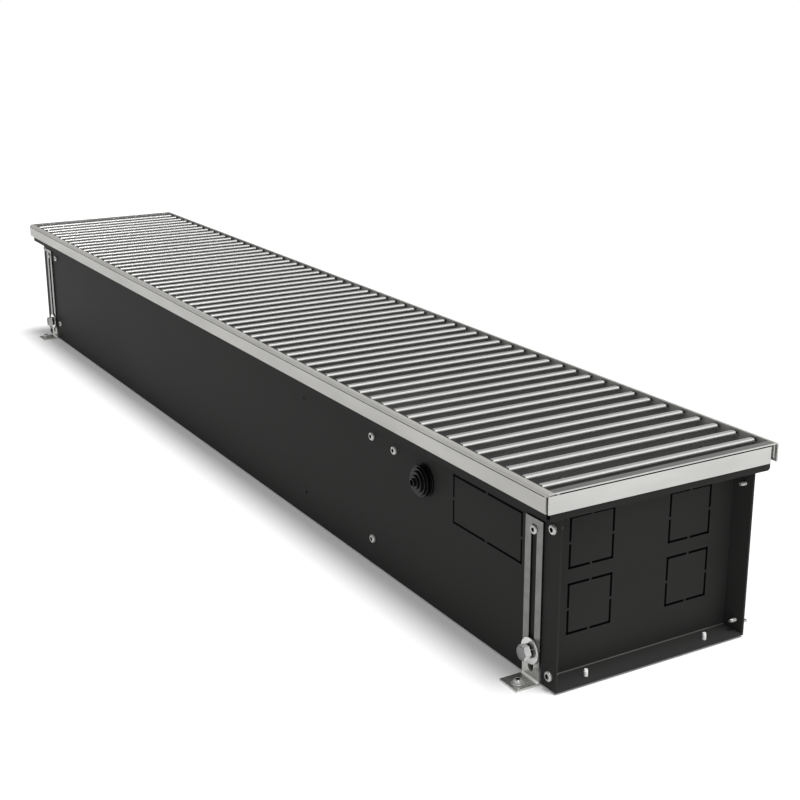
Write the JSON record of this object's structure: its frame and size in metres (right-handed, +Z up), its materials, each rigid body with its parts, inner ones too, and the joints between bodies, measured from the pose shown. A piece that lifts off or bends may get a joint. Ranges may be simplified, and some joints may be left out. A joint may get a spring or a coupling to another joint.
{
  "type": "trench convector heater",
  "caption": "Fan-assisted trench convector heater with a black trough, an aluminium frame, a roll-up bar grille and four levelling feet.",
  "frame": {"origin": "middle of the footprint at floor level, under the four feet", "axes": "+X along the trough towards the connection end, -Y towards the side wall with the cable grommet, +Z up"},
  "size_m": [1.5004, 0.2708, 0.1923],
  "materials": {
    "black_steel": "black powder coat, satin",
    "profile": "natural anodised, satin",
    "bar": "natural anodised, satin",
    "zinc_steel": "zinc plated, matt",
    "galvanised": "galvanised sheet",
    "fastener": "bright zinc",
    "dark_steel": "oiled spring steel",
    "fin": "mill finish",
    "copper": "drawn copper",
    "brass": "machined",
    "black_rubber": "matt",
    "black_plastic": "fine texture",
    "pale_plastic": "fine texture",
    "motor_case": "satin"
  },
  "bodies": {
    "root": {"trough": "black_steel", "end_plate_near": "black_steel", "end_plate_far": "black_steel", "side_screws": "fastener", "bottom_screws": "fastener", "frame_front": "profile", "frame_rear": "profile", "frame_near": "profile", "frame_far": "profile", "grille_pads": "black_rubber", "clamp_bolts": "fastener", "clamp_washers": "fastener", "spring_washers": "dark_steel", "clamp_nuts": "fastener", "cable_grommet": "black_rubber", "partition_near": "galvanised", "partition_far": "galvanised", "partition_screws": "fastener", "fin_pack": "fin", "copper_tubes": "copper", "far_bends": "copper", "near_bend": "copper", "pipe_connectors": "brass", "vent_valve": "brass", "exchanger_saddles": "galvanised", "fan_motor": "motor_case", "motor_bracket": "galvanised", "fan_bearings": "black_rubber", "fan_scroll_near": "galvanised", "fan_scroll_far": "galvanised", "control_box": "pale_plastic", "control_box_lid": "pale_plastic", "lid_screws": "fastener", "terminal_block": "pale_plastic", "box_gland": "black_plastic", "box_screw": "fastener", "motor_lead": "black_plastic", "lead_clips": "pale_plastic"},
    "grille": {"grille_bars": "bar", "grille_rods": "dark_steel", "grille_spacers": "black_plastic", "grille_rod_caps": "black_plastic"},
    "fan_rotor": {"fan_shaft": "dark_steel", "impeller_near": "motor_case", "impeller_far": "motor_case"},
    "vent_spindle": {"vent_screw": "fastener"},
    "leg_front_near": {"foot_front_near": "zinc_steel", "lock_screw_front_near": "fastener", "floor_screw_front_near": "fastener"},
    "leg_front_far": {"foot_front_far": "zinc_steel", "lock_screw_front_far": "fastener", "floor_screw_front_far": "fastener"},
    "leg_rear_near": {"foot_rear_near": "zinc_steel", "lock_screw_rear_near": "fastener", "floor_screw_rear_near": "fastener"},
    "leg_rear_far": {"foot_rear_far": "zinc_steel", "lock_screw_rear_far": "fastener", "floor_screw_rear_far": "fastener"}
  },
  "joints": [
    {"name": "grille_lift", "type": "slide", "parent": "root", "child": "grille", "axis": [0, 0, 1], "range_m": [0, 0.12]},
    {"name": "fan_spin", "type": "hinge", "parent": "root", "child": "fan_rotor", "pos_m": [0, -0.06006, 0.058], "axis": [1, 0, 0], "continuous": true},
    {"name": "vent_turn", "type": "hinge", "parent": "root", "child": "vent_spindle", "pos_m": [0.4444, 0.056, 0.1], "axis": [0, 0, 1], "range_deg": [0, 360]},
    {"name": "level_front_near", "type": "slide", "parent": "root", "child": "leg_front_near", "axis": [0, 0, 1], "range_m": [-0.095, 0]},
    {"name": "level_front_far", "type": "slide", "parent": "root", "child": "leg_front_far", "axis": [0, 0, 1], "range_m": [-0.095, 0]},
    {"name": "level_rear_near", "type": "slide", "parent": "root", "child": "leg_rear_near", "axis": [0, 0, 1], "range_m": [-0.095, 0]},
    {"name": "level_rear_far", "type": "slide", "parent": "root", "child": "leg_rear_far", "axis": [0, 0, 1], "range_m": [-0.095, 0]}
  ]
}
